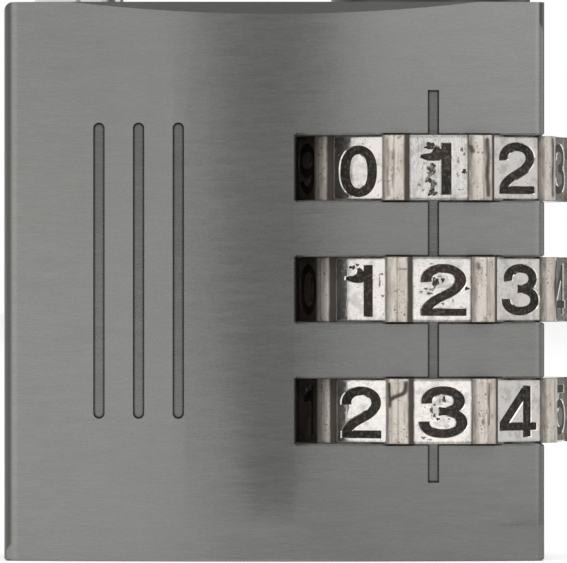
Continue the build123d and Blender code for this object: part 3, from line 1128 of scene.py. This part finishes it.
@dataclass
class DialWheel:
    """Shape shared by the dials: ten flat plates with sunk digits, ten ribs and a notched bore."""

    traces: DialTraces
    plate_count: int = 10
    plate_apothem: float = 7.45
    plate_break: float = 0.1
    margin: float = 0.13
    # Plate edges and margins beside the ribs are darkened, partly by grime and partly by painted shade.
    edge_grime_and_shade: float = 0.8
    edge_rib: float = 0.3
    margin_grime_and_shade: float = 0.4
    thickness: float = 3.61
    first_row: float = 0.03
    row_count: int = 40
    rib_radius: float = 8.07
    rib_width: float = 1.48
    rib_break: float = 0.2
    rib_foot: float = 0.02
    crown: float = 1.0
    crown_steps: int = 10
    # The rib flanks darken out towards their feet, partly by grime and partly by painted shade.
    flank_grime_and_shade: float = 0.95
    bright_half: float = 0.46
    dark_half: float = 0.64
    # The left flanks get less of that darkness and the right flanks more: painted light from the left.
    left_flank_shade: float = 0.56
    right_flank_shade: float = 1.25
    crest_grime: tuple[Point2, ...] = ((0.06, 0.22), (0.015, 0.42))
    lower_bore: float = 5.3
    bore_steps: int = 120
    upper_bore: float = 4.65
    notch_reach: float = 5.25
    notch_half: float = 0.55
    notch_height: float = 1.5
    notch_steps: int = 6
    pen_stretch: float = 1.42
    squat: float = 0.985
    rim_width: float = 0.045
    rim_drop: float = 0.05
    digit_depth: float = 0.24
    paint_drop: float = 0.085
    paint_foot: float = 0.01
    plate_weld: float = 1e-6
    web_weld: float = 1e-7
    wheel: Shell = field(default_factory=Shell)
    paint: Shell = field(default_factory=Shell)

    def on_plate(self, number: int, across: float, up: float, rise: float = 0.0) -> Point3:
        """Return a point over a plate.

        Args:
            number: The plate's number, which is its digit.
            across: Millimetres to the right of the plate's middle.
            up: Millimetres above the dial's lower face.
            rise: Millimetres out of the plate.

        Returns:
            The point on the wheel, with plate 0 towards -Y.
        """
        angle = math.radians(number * 360 / self.plate_count)
        return (*about_axis(self.plate_apothem + rise, across, angle), up)

    def plate_half(self) -> float:
        """Work out how wide a plate is between its ribs.

        Returns:
            Half the width.
        """
        half_sector = math.pi / self.plate_count
        lean = self.plate_apothem * math.sin(half_sector) - self.rib_width / 2
        return lean / math.cos(half_sector)

    def rib_profile(self) -> list[Point3]:
        """Draw the rib's outline across one corner of the wheel.

        Returns:
            Points as distance out, distance aside and grime with painted shade.
        """
        half = self.rib_width / 2
        foot = self.plate_half() * math.sin(math.pi / self.plate_count)
        foot += self.plate_apothem * math.cos(math.pi / self.plate_count)
        widest = math.asin(half / self.crown)
        left = [(foot + self.rib_foot, -half, 1.0)]
        for step in range(self.crown_steps):
            angle = widest * (1.0 - step / self.crown_steps)
            aside = self.crown * math.sin(angle)
            share = (aside - self.bright_half) / (self.dark_half - self.bright_half)
            grime = self.flank_grime_and_shade * min(1.0, max(0.0, share))
            left.append((self.rib_radius - self.crown * (1.0 - math.cos(angle)), -aside, grime))
        left += [(self.rib_radius, -aside, grime) for aside, grime in self.crest_grime]
        whole = left + [(out, -aside, grime) for out, aside, grime in reversed(left)]
        return [(out, aside, self.shaded_by_side(aside, grime)) for out, aside, grime in whole]

    def shaded_by_side(self, aside: float, grime: float) -> float:
        """Paint a rib's left flank lighter and its right flank darker, as painted light falling from the
        left.

        Args:
            aside: Millimetres to the right of the rib's middle.
            grime: The grime and painted shade of an evenly darkened rib.

        Returns:
            The grime and painted shade, from 0 to 1.
        """
        if abs(aside) < self.bright_half:
            return grime
        share = self.left_flank_shade if aside < 0 else self.right_flank_shade
        return min(1.0, share * grime)

    def column(self, number: int, out: float, aside: float, up: float) -> Point3:
        """Return a point of the rib after a plate, held back by the rounded ends.

        Args:
            number: The number of the plate before the rib.
            out: Distance from the axis along the rib's middle.
            aside: Distance to the right of the rib's middle.
            up: Height above the dial's lower face.

        Returns:
            The point on the wheel.
        """
        near = min(up, self.thickness - up, self.rib_break)
        drop = self.rib_break - near
        limit = self.rib_radius - self.rib_break + math.sqrt(max(0.0, self.rib_break**2 - drop**2))
        share = min(1.0, limit / math.hypot(out, aside))
        angle = math.radians((number + 0.5) * 360 / self.plate_count)
        return (*about_axis(out * share, aside * share, angle), up)

    def rows(self) -> list[float]:
        """Set out the wheel's rows of points, closer together at its two breaks.

        Returns:
            The heights from the lower face to the upper one.
        """
        between = (self.plate_break + self.rib_break) / 2
        low = [0.0, self.first_row, self.plate_break, between, self.rib_break]
        span = self.thickness - 2 * self.rib_break
        middle = [self.rib_break + span * i / self.row_count for i in range(1, self.row_count)]
        return low + middle + [self.thickness - z for z in reversed(low)]

    def plate_line(self, number: int, up: float) -> list[Point3]:
        """Return the points across a plate at one height, marked with the grime and painted shade of its
        margin.

        Args:
            number: The plate's number.
            up: Height above the dial's lower face.

        Returns:
            The left edge, the margin's two inner points and the right edge.
        """
        near = min(up, self.thickness - up)
        rise = min(0.0, near - self.plate_break)
        half = self.plate_half()
        inner = half - self.margin
        line = [self.on_plate(number, across, up, rise) for across in (-half, -inner, inner, half)]
        grimes = (self.edge_grime_and_shade, self.margin_grime_and_shade, self.margin_grime_and_shade, self.edge_grime_and_shade)
        for place, grime, rib in zip(line, grimes, (self.edge_rib, 0.0, 0.0, self.edge_rib)):
            self.wheel.point(place, grime=grime, rib=rib)
        return line

    def rib_line(self, number: int, up: float) -> list[Point3]:
        """Return the points across the rib after a plate at one height, marked with their grime and painted
        shade.

        Args:
            number: The plate's number.
            up: Height above the dial's lower face.

        Returns:
            The plate's right edge, the rib's points and the next plate's left edge.
        """
        profile = self.rib_profile()
        line = [self.plate_line(number, up)[-1]]
        line += [self.column(number, out, aside, up) for out, aside, _ in profile]
        line.append(self.plate_line((number + 1) % self.plate_count, up)[0])
        dirt_lines = self.traces.smudges.get(number, ())
        for place, (_, aside, grime) in zip(line[1:-1], profile):
            darkening = (s.depth(aside, up - self.thickness / 2) for s in dirt_lines)
            self.wheel.point(place, grime=max(grime, *darkening, 0.0), rib=1.0)
        return line

    def add_ribs(self) -> list[Point3]:
        """Build the ribs and the plates' upper and lower breaks.

        Returns:
            The wheel's outline at height 0, in order.
        """
        heights = self.rows()
        breaks = [*zip(heights[:2], heights[1:3]), *zip(heights[-3:-1], heights[-2:])]
        outline: list[Point3] = []
        for number in range(self.plate_count):
            lines = [self.rib_line(number, up) for up in heights]
            for lower, upper in zip(lines, lines[1:]):
                self.wheel.strip(lower, upper)
            outline += self.plate_line(number, 0.0)[:-1] + lines[0][:-1]
            for low, high in breaks:
                self.wheel.strip(self.plate_line(number, low), self.plate_line(number, high))
        return outline

    def plate_patches(self, number: int, strokes: list[Stroke]) -> list[Patch]:
        """Lay out a plate: its face, the clean part inside the margin, its paint spots and its digit.

        Args:
            number: The plate's number, which is its digit.
            strokes: The digit's strokes.

        Returns:
            The patches, which lie over each other.
        """
        half = self.plate_half()
        rails = self.rows()[2:-2]
        inner, bottom, top = half - self.margin, rails[0] + self.margin, rails[-1] - self.margin
        # The border has a point at each row of the ribs, so that plate and ribs meet without gaps.
        border = [(-half, z) for z in reversed(rails)] + [(-inner, rails[0]), (inner, rails[0])]
        border += [(half, z) for z in rails] + [(inner, rails[-1]), (-inner, rails[-1])]
        clean = [(-inner, top), (-inner, bottom), (inner, bottom), (inner, top)]
        patches = [Patch(border, Region.PLATE), Patch(clean, Region.PLATE)]
        middle = self.thickness / 2
        for fleck in self.traces.flecks.get(number, ()):
            spot = [(x, y + middle) for x, y in fleck.outline()]
            patches.append(Patch(spot, Region.FLECK, fleck.shade))
        aside, upward = self.traces.nudges.get(number, (0.0, 0.0))
        for stroke in strokes:
            for widen, region in ((self.rim_width, Region.RIM), (0.0, Region.FLOOR)):
                for part in stroke.ribbon(widen, self.pen_stretch):
                    outline = [(x + aside, self.squat * y + upward + middle) for x, y in part]
                    patches.append(Patch(outline, region))
        return patches

    def add_plate(self, number: int, strokes: list[Stroke]) -> None:
        """Build one plate with its sunk digit and the paint in it.

        Args:
            number: The plate's number, which is its digit.
            strokes: The digit's strokes.
        """
        patches = self.plate_patches(number, strokes)
        points, tiles, owners = cut_up([patch.outline for patch in patches], self.plate_weld)
        regions = [max((patches[o].region for o in owner), key=lambda r: r.value) for owner in owners]
        on_top: set[int] = set()
        for tile, region in zip(tiles, regions):
            if region in (Region.PLATE, Region.FLECK):
                on_top.update(tile)
        edges: list[tuple[int, int]] = []
        for tile, region, owner in zip(tiles, regions, owners):
            if region is Region.FLOOR:
                self.add_floor_tile(number, [points[i] for i in tile])
                edges += zip(tile, tile[1:] + tile[:1])
            else:
                rises = [0.0 if i in on_top else -self.rim_drop for i in tile]
                places = [self.on_plate(number, *points[i], rise) for i, rise in zip(tile, rises)]
                shade = max(patches[o].shade for o in owner) if region is Region.FLECK else 0.0
                self.wheel.face(places, shade)
        # An edge that the floor has on one side only is the digit's outline, and gets a wall.
        known = set(edges)
        for a, b in edges:
            if (b, a) not in known:
                top = 0.0 if a in on_top and b in on_top else -self.rim_drop
                self.add_wall(number, points[a], points[b], top)

    def add_floor_tile(self, number: int, corners: Sequence[Vector]) -> None:
        """Build one patch of a digit's floor and of the paint over it.

        Args:
            number: The plate's number.
            corners: The patch's corners on the plate.
        """
        floor = [self.on_plate(number, *corner, -self.digit_depth) for corner in corners]
        self.wheel.face(floor)
        # The digit's floor is marked fully dark: grime and painted shade in the recess, under the paint.
        for place in floor:
            self.wheel.point(place, grime=1.0)
        underside = self.paint_foot - self.digit_depth
        self.paint.face([self.on_plate(number, *corner, -self.paint_drop) for corner in corners])
        self.paint.face([self.on_plate(number, *corner, underside) for corner in reversed(corners)])

    def add_wall(self, number: int, first: Vector, second: Vector, top: float) -> None:
        """Build the digit's upright wall and the paint's side along one edge.

        Args:
            number: The plate's number.
            first: The edge's first end.
            second: Its second end.
            top: The height of the wall's top, over the plate.
        """
        for shell, high, low in (
            (self.wheel, top, -self.digit_depth),
            (self.paint, -self.paint_drop, self.paint_foot - self.digit_depth),
        ):
            corners = ((first, high), (second, high), (second, low), (first, low))
            shell.face([self.on_plate(number, *corner, rise) for corner, rise in corners])

    def ring(self) -> list[Point2]:
        """Draw the lower bore's outline.

        Returns:
            Its points in order.
        """
        turn = 2 * math.pi / self.bore_steps
        return [about_axis(self.lower_bore, 0.0, i * turn) for i in range(self.bore_steps)]

    def notched_ring(self) -> list[Point2]:
        """Draw the upper bore's outline with its notches.

        Returns:
            Its points in order.
        """
        edge = math.asin(self.notch_half / self.upper_bore)
        sector = 2 * math.pi / self.plate_count
        mouth = self.upper_bore * math.cos(edge)
        places = [(mouth, -self.notch_half), (self.notch_reach, -self.notch_half)]
        places += [(self.notch_reach, self.notch_half), (mouth, self.notch_half)]
        for step in range(1, self.notch_steps):
            angle = edge + (sector - 2 * edge) * step / self.notch_steps
            places.append((self.upper_bore * math.cos(angle), self.upper_bore * math.sin(angle)))
        middles = [(number + 0.5) * sector for number in range(self.plate_count)]
        return [about_axis(out, aside, middle) for middle in middles for out, aside in places]

    def add_web(self, outer: Sequence[Point2], inner: Sequence[Point2], up: float) -> None:
        """Fill the flat ring between two outlines.

        Args:
            outer: The outer outline.
            inner: The inner outline.
            up: The height of the ring.
        """
        points, tiles, owners = cut_up((outer, inner), self.web_weld)
        for tile, owner in zip(tiles, owners):
            if owner == [0]:
                self.wheel.face([(*points[i], up) for i in tile])

    def add_bore(self, outline: Sequence[Point3]) -> None:
        """Build the end faces, the bore, its step and its notches.

        Args:
            outline: The wheel's outline at height 0.
        """
        rim = [(p[0], p[1]) for p in outline]
        lower, upper = self.ring(), self.notched_ring()
        step_up = self.thickness - self.notch_height
        self.add_web(rim, lower, 0.0)
        self.add_web(rim, upper, self.thickness)
        self.add_web(lower, upper, step_up)
        for ring, low, high in ((lower, 0.0, step_up), (upper, step_up, self.thickness)):
            for a, b in zip(ring, [*ring[1:], ring[0]]):
                self.wheel.face([(*a, low), (*a, high), (*b, high), (*b, low)])

    def build(self) -> None:
        """Build the whole wheel and its paint."""
        outline = self.add_ribs()
        for number, strokes in enumerate(digit_strokes()):
            self.add_plate(number, strokes)
        self.add_bore(outline)


@dataclass(frozen=True)
class NumberDial:
    """One dial in its place: a turned copy of the wheel and its paint, riding on the dial's body."""

    row: int
    index_digit: int
    turn: float
    traces: DialTraces

    @property
    def node(self) -> str:
        """Return the name of the CAD node and of the body."""
        return f"dial_{self.row}"

    def place(self, wheel: DialWheel) -> Matrix:
        """Find the dial's place in the frame.

        Args:
            wheel: The dial's wheel.

        Returns:
            The matrix that puts the wheel, in millimetres, there.
        """
        low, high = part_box(self.node)
        axis_x, axis_y = dial_axis(self.node)
        spin = math.radians(self.turn - 360.0 / wheel.plate_count * self.index_digit)
        middle = (low.z + high.z) / 2 / MM
        lift = Matrix.Translation((axis_x, axis_y, middle - wheel.thickness / 2))
        return lift @ Matrix.Rotation(spin, 4, "Z")

    def build(self, metal: bpy.types.Material, enamel: bpy.types.Material) -> None:
        """Build the dial's two pieces.

        Args:
            metal: The dial's metal.
            enamel: The digits' paint.
        """
        wheel = DialWheel(self.traces)
        wheel.build()
        turn = self.place(wheel)
        body = wheel.wheel.make(f"{self.node}_wheel", turn)
        body.data.materials.append(metal)
        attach(body, self.node)
        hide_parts(self.node)
        digits = wheel.paint.make(f"{self.node}_digits", turn)
        digits.data.materials.append(enamel)
        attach(digits, self.node)
        for piece in (body, digits):
            log.info("%s: %d faces", piece.name, len(piece.data.polygons))


def first_traces() -> DialTraces:
    """List the traces of the top dial.

    Returns:
        The traces.
    """
    flecks = {
        1: (
            Fleck((-0.43, 1.19), (0.29, 0.17)),
            Fleck((-0.38, -0.03), (0.20, 0.23)),
            Fleck((-0.46, -0.36), (0.17, 0.13), 0.8),
            Fleck((-0.57, -0.66), (0.15, 0.17)),
            Fleck((-0.32, -0.92), (0.15, 0.25), 0.9),
            Fleck((-0.35, -1.38), (0.21, 0.18)),
            Fleck((-1.08, -0.95), (0.08, 0.06), 0.7),
            Fleck((-0.86, -1.24), (0.06, 0.06), 0.6),
            Fleck((-0.80, 0.24), (0.07, 0.08), 0.5),
            Fleck((1.28, 0.98), (0.07, 0.10)),
            Fleck((1.42, 0.74), (0.06, 0.07), 0.8),
            Fleck((1.08, 0.40), (0.06, 0.17), 0.55),
            Fleck((1.42, -0.22), (0.12, 0.12)),
            Fleck((1.04, -0.38), (0.05, 0.12), 0.5),
            Fleck((1.22, -1.22), (0.16, 0.05), 0.5),
        ),
    }
    smudges = {
        0: (
            Smudge(((-0.42, 1.5), (-0.34, 0.4), (-0.4, -0.6), (-0.3, -1.5)), 0.16, 0.5),
            Smudge(((-0.12, 0.9), (-0.1, 0.5)), 0.09, 0.6),
            Smudge(((-0.05, -0.4), (-0.1, -1.1)), 0.08, 0.45),
        ),
        1: (
            Smudge(((0.2, 1.5), (0.26, 0.5), (0.2, -0.4), (0.28, -1.5)), 0.2, 0.9),
            Smudge(((-0.66, 1.15), (-0.6, 0.9)), 0.16, 1.0),
            Smudge(((-0.1, 0.2), (-0.06, -0.9)), 0.06, 0.4),
        ),
        2: (Smudge(((0.02, 1.6), (0.05, 0.4), (-0.02, -0.5), (0.04, -1.5)), 0.2, 0.8),),
    }
    nudges = {0: (-0.03, -0.19), 1: (0.0, -0.07), 2: (0.05, -0.01)}
    return DialTraces(flecks, smudges, nudges)


def second_traces() -> DialTraces:
    """List the traces of the middle dial.

    Returns:
        The traces.
    """
    flecks = {
        2: (
            Fleck((0.02, 0.42), (0.42, 0.34), 0.2),
            Fleck((-0.85, -0.12), (0.34, 0.2), 0.16),
            Fleck((-0.36, 0.40), (0.17, 0.26)),
            Fleck((0.06, 0.52), (0.09, 0.11)),
            Fleck((-0.12, 0.72), (0.12, 0.05), 0.6),
            Fleck((-0.88, 0.04), (0.09, 0.05), 0.9),
            Fleck((-0.55, 0.00), (0.12, 0.07)),
            Fleck((-1.14, -0.13), (0.09, 0.04), 0.8),
            Fleck((-0.68, -0.22), (0.14, 0.06), 0.9),
            Fleck((0.14, -0.22), (0.10, 0.07), 0.9),
            Fleck((0.38, -0.08), (0.12, 0.05), 0.8),
            Fleck((0.06, -0.78), (0.09, 0.05), 0.7),
            Fleck((1.40, 0.05), (0.12, 0.08)),
            Fleck((-0.57, 1.42), (0.10, 0.05), 0.5),
            Fleck((0.62, -0.62), (0.05, 0.10), 0.5),
            Fleck((1.1, -1.0), (0.07, 0.05), 0.5),
        ),
        1: (
            Fleck((1.22, 0.42), (0.05, 0.30), 0.75),
            Fleck((1.35, 0.85), (0.12, 0.05), 0.7),
            Fleck((1.42, -0.36), (0.10, 0.06), 0.8),
            Fleck((-0.55, 1.22), (0.18, 0.09)),
            Fleck((-0.22, 1.36), (0.10, 0.06)),
        ),
    }
    smudges = {
        1: (
            Smudge(((0.1, 1.15), (0.6, 1.1)), 0.07, 0.7),
            Smudge(((-0.4, 1.2), (-0.36, -1.2)), 0.12, 0.3),
        ),
        2: (Smudge(((-0.52, 1.4), (-0.46, 1.2)), 0.17, 0.8), Smudge(((0.1, 1.5), (0.13, -1.4)), 0.07, 0.4)),
        3: (
            Smudge(((0.3, 1.5), (0.12, 0.5), (0.08, 0.2), (0.2, -0.6), (0.36, -1.5)), 0.2, 1.0),
            Smudge(((0.3, 0.6), (0.3, -0.4)), 0.16, 1.0),
        ),
    }
    nudges = {1: (0.0, -0.08), 2: (0.05, -0.03), 3: (0.2, -0.02)}
    return DialTraces(flecks, smudges, nudges)


def third_traces() -> DialTraces:
    """List the traces of the bottom dial.

    Returns:
        The traces.
    """
    flecks = {
        3: (
            Fleck((-0.12, 0.62), (0.30, 0.26), 0.3),
            Fleck((-0.5, 0.02), (0.2, 0.36), 0.2),
            Fleck((-0.02, -0.66), (0.36, 0.2), 0.2),
            Fleck((0.07, 0.66), (0.08, 0.16)),
            Fleck((-0.16, 0.58), (0.06, 0.10), 0.6),
            Fleck((-0.45, 0.36), (0.08, 0.06), 0.9),
            Fleck((-0.62, 0.08), (0.07, 0.16), 0.9),
            Fleck((-0.46, -0.24), (0.07, 0.10), 0.9),
            Fleck((-0.26, -0.42), (0.10, 0.06)),
            Fleck((0.34, -0.42), (0.06, 0.05), 0.6),
            Fleck((-1.07, -1.46), (0.12, 0.07), 0.7),
            Fleck((-0.72, -1.56), (0.12, 0.04), 0.6),
        ),
        2: (
            Fleck((-0.70, -1.16), (0.06, 0.22), 0.8),
            Fleck((-0.88, 0.34), (0.06, 0.30), 0.8),
            Fleck((-1.18, -0.2), (0.08, 0.4), 0.9),
        ),
    }
    smudges = {
        2: (
            Smudge(
                (
                    (-0.55, 1.5), (-0.55, 1.1), (-0.53, 0.78), (-0.44, 0.66), (-0.32, 0.72),
                    (-0.12, 0.83), (0.11, 0.92), (0.30, 1.0), (0.38, 1.12), (0.40, 1.3), (0.41, 1.58),
                ),
                0.15,
            ),
            Smudge(((-0.48, 0.75), (-0.52, 0.3)), 0.18, 0.9),
            Smudge(((0.34, 0.5), (0.36, -0.6)), 0.08, 0.4),
        ),
        3: (
            Smudge(((0.1, 1.5), (0.06, 0.6), (0.1, 0.0), (0.06, -0.7)), 0.09, 0.7),
            Smudge(((-0.3, -0.5), (-0.28, -0.7)), 0.08, 0.7),
        ),
        4: (Smudge(((0.3, 0.4), (0.34, -0.5)), 0.12, 0.5),),
    }
    nudges = {2: (-0.12, -0.08), 3: (0.03, -0.05), 4: (0.0, -0.03)}
    return DialTraces(flecks, smudges, nudges)


@dataclass(frozen=True)
class DialSet:
    """The three dials with the digits and turns that the index shows."""

    digits: tuple[int, ...] = (1, 2, 3)
    turns: tuple[float, ...] = (2.3, 3.6, 4.0)

    def build(self) -> None:
        """Build every dial, each with its own traces."""
        metal = DialNickel().material()
        enamel = DigitPaint().material()
        rows = zip(self.digits, self.turns, (first_traces(), second_traces(), third_traces()))
        for row, (digit, turn, traces) in enumerate(rows, 1):
            NumberDial(row, digit, turn, traces).build(metal, enamel)


@dataclass(frozen=True)
class CarriedParts:
    """The machined CAD pieces that stay as they are and get their finishes here."""

    body: BrushedBody = BrushedBody()
    chrome: PlainMetal = PlainMetal(
        "shackle_chrome",
        (0.66, 0.67, 0.65),
        (0.60, 0.62, 0.60),
        roughness=0.07,
        rough_range=0.07,
        mark_microns=0.25,
        wave_microns=6.0,
        spot_share=0.12,
    )
    bush: PlainMetal = PlainMetal(
        "bush_dark",
        (0.075, 0.07, 0.06),
        (0.12, 0.105, 0.09),
        roughness=0.34,
        rough_range=0.12,
        mark_microns=1.0,
    )
    steel: PlainMetal = PlainMetal(
        "steel_bright",
        (0.56, 0.56, 0.55),
        (0.47, 0.47, 0.46),
        roughness=0.22,
        rough_range=0.12,
        mark_microns=0.6,
    )
    brass: PlainMetal = PlainMetal(
        "sleeve_brass",
        (0.72, 0.54, 0.27),
        (0.60, 0.44, 0.22),
        roughness=0.24,
        rough_range=0.12,
        mark_microns=0.8,
    )

    def finishes(self) -> list[tuple[BrushedBody | PlainMetal, tuple[str, ...]]]:
        """Match the finishes with the CAD nodes that have them.

        Returns:
            Each finish with its nodes.
        """
        steel_nodes = ("retaining_pin", "thrust_washer", "sleeve_spring", "detent_spring", "spring_plug")
        return [
            (self.body, ("lock_body",)),
            (self.chrome, ("shackle",)),
            (self.bush, ("top_bush",)),
            (self.steel, steel_nodes),
            (self.brass, ("code_sleeve_1", "code_sleeve_2", "code_sleeve_3")),
        ]

    def dress(self) -> None:
        """Give each carried CAD node its material."""
        for finish, nodes in self.finishes():
            material = finish.material()
            for node in nodes:
                materials = frame["nodes"][node].data.materials
                materials.clear()
                materials.append(material)
                log.info("%s dressed in %s", node, material.name)


@dataclass(frozen=True)
class Lamp:
    """A square soft lamp that looks at the lock, set by its place in degrees and metres."""

    name: str
    azimuth: float
    elevation: float
    distance: float
    size: float
    level: float
    mirrored: bool = True
    aim_height: float = 0.015

    def hang(self) -> None:
        """Hang the lamp, with a face as bright as its level, where 1 is white."""
        data = bpy.data.lights.new(self.name, "AREA")
        data.shape = "SQUARE"
        data.size = self.size
        data.energy = self.level * math.pi * self.size * self.size
        made = put_in_scene(self.name, data)
        a, e = math.radians(self.azimuth), math.radians(self.elevation)
        toward = Vector((math.sin(a) * math.cos(e), -math.cos(a) * math.cos(e), math.sin(e)))
        made.location = toward * self.distance + Vector((0.0, 0.0, self.aim_height))
        made.rotation_mode = "QUATERNION"
        made.rotation_quaternion = toward.to_track_quat("Z", "Y")
        made.visible_camera = False
        made.visible_glossy = self.mirrored


@dataclass(frozen=True)
class Card:
    """A plain card with its mat round the lock, which metal alone sees, in degrees and metres."""

    name: str
    left: float
    right: float
    tone: float
    distance: float = 1.6
    height: float = 2.2
    mat_start: float = 0.012
    mat_height: float = 0.002
    steps: int = 12
    clouds: Cloud = Cloud(0.02, 2.0)
    unevenness: float = 0.06

    def material(self) -> bpy.types.Material:
        """Make the card's material, which glows by itself.

        Returns:
            The material.
        """
        made = bpy.data.materials.new(self.name)
        recipe = Recipe(made)
        clouds = recipe.noise(recipe.millimetres(), self.clouds)
        grey = (self.tone, self.tone, self.tone)
        dark, light = scaled(grey, 1.0 - self.unevenness), scaled(grey, 1.0 + self.unevenness)
        glow = recipe.add("ShaderNodeEmission", {"Color": recipe.blend(clouds, dark, light)})
        recipe.add("ShaderNodeOutputMaterial", {"Surface": glow.outputs[0]})
        return made

    def stand(self) -> bpy.types.Object:
        """Stand the card up, from its left side to its right, seen from the lock.

        Returns:
            The card.
        """
        points: list[Point3] = []
        faces: list[list[int]] = []
        for step in range(self.steps + 1):
            angle = math.radians(self.left + (self.right - self.left) * step / self.steps)
            aside, ahead = math.sin(angle), -math.cos(angle)
            x, y = self.distance * aside, self.distance * ahead
            points.append((self.mat_start * aside, self.mat_start * ahead, self.mat_height))
            points += [(x, y, self.mat_height), (x, y, self.height)]
        for step in range(self.steps):
            a = 3 * step
            faces += [[a, a + 3, a + 4, a + 1], [a + 1, a + 4, a + 5, a + 2]]
        mesh = bpy.data.meshes.new(self.name)
        mesh.from_pydata(points, [], faces)
        mesh.materials.append(self.material())
        made = put_in_scene(self.name, mesh)
        made.visible_camera = False
        made.visible_shadow = False
        made.visible_diffuse = False
        return made


@dataclass(frozen=True)
class Studio:
    """Pale floor, soft lamps, cards that metal alone sees, and the camera, in metres and degrees."""

    camera_place: Point3 = (0.00052, -0.4073, 0.01506)
    camera_tilt: float = 0.063
    lens: float = 459.3
    sensor: float = 36.0
    nearest: float = 0.01
    farthest: float = 20.0
    floor_radius: float = 4.0
    floor_sides: int = 96
    world_seen: float = 1.0
    world_soft: float = 0.42
    cards: tuple[Card, ...] = (
        Card("card_front", -6.5, 5.3, 0.42),
        Card("card_right", 62.0, 98.0, 0.74),
        Card("card_behind", 140.0, 172.0, 0.2),
    )
    lamps: tuple[Lamp, ...] = (
        Lamp("lamp_left", -48.0, 32.0, 1.3, 0.9, 1.05),
        Lamp("lamp_right", 46.0, 36.0, 1.3, 0.9, 1.25),
        Lamp("lamp_top", 160.0, 66.0, 1.5, 0.9, 0.8),
        Lamp("lamp_front", -16.0, 12.0, 1.4, 0.8, 2.1, mirrored=False),
    )

    def camera(self) -> None:
        """Set up the camera at the photograph's angle."""
        data = bpy.data.cameras.new("camera")
        data.lens = self.lens
        data.sensor_width = self.sensor
        data.clip_start = self.nearest
        data.clip_end = self.farthest
        made = put_in_scene("camera", data)
        made.location = self.camera_place
        made.rotation_euler = (math.radians(90.0 + self.camera_tilt), 0.0, 0.0)
        bpy.context.scene.camera = made

    def light_room(self) -> None:
        """Light the room evenly, white where it is seen."""
        world = bpy.data.worlds.new("studio")
        bpy.context.scene.world = world
        recipe = Recipe(world)
        strength = recipe.seen_share(self.world_seen, self.world_soft)
        light = recipe.add("ShaderNodeBackground", {"Strength": strength})
        light.inputs["Color"].default_value = (1.0, 1.0, 1.0, 1.0)
        recipe.add("ShaderNodeOutputWorld", {"Surface": light.outputs[0]})

    def floor(self) -> bpy.types.Object:
        """Lay the pale floor.

        Returns:
            The floor.
        """
        angles = [2 * math.pi / self.floor_sides * side for side in range(self.floor_sides)]
        points = [(self.floor_radius * math.cos(a), self.floor_radius * math.sin(a), 0.0) for a in angles]
        mesh = bpy.data.meshes.new("floor")
        mesh.from_pydata(points, [], [list(range(self.floor_sides))])
        mesh.materials.append(PaleCard().material())
        return put_in_scene("floor", mesh)

    def build(self) -> None:
        """Set up the whole studio."""
        self.camera()
        self.light_room()
        self.floor()
        for card in self.cards:
            card.stand()
        for lamp in self.lamps:
            lamp.hang()
        bpy.context.scene.view_settings.view_transform = "Standard"
        log.info("studio is set up")


def main() -> None:
    """Build the studio and dress the lock, piece by piece."""
    logging.basicConfig(level=logging.INFO, format="%(name)s: %(message)s")
    Studio().build()
    CarriedParts().dress()
    DialSet().build()


if __name__ == "__main__":
    main()
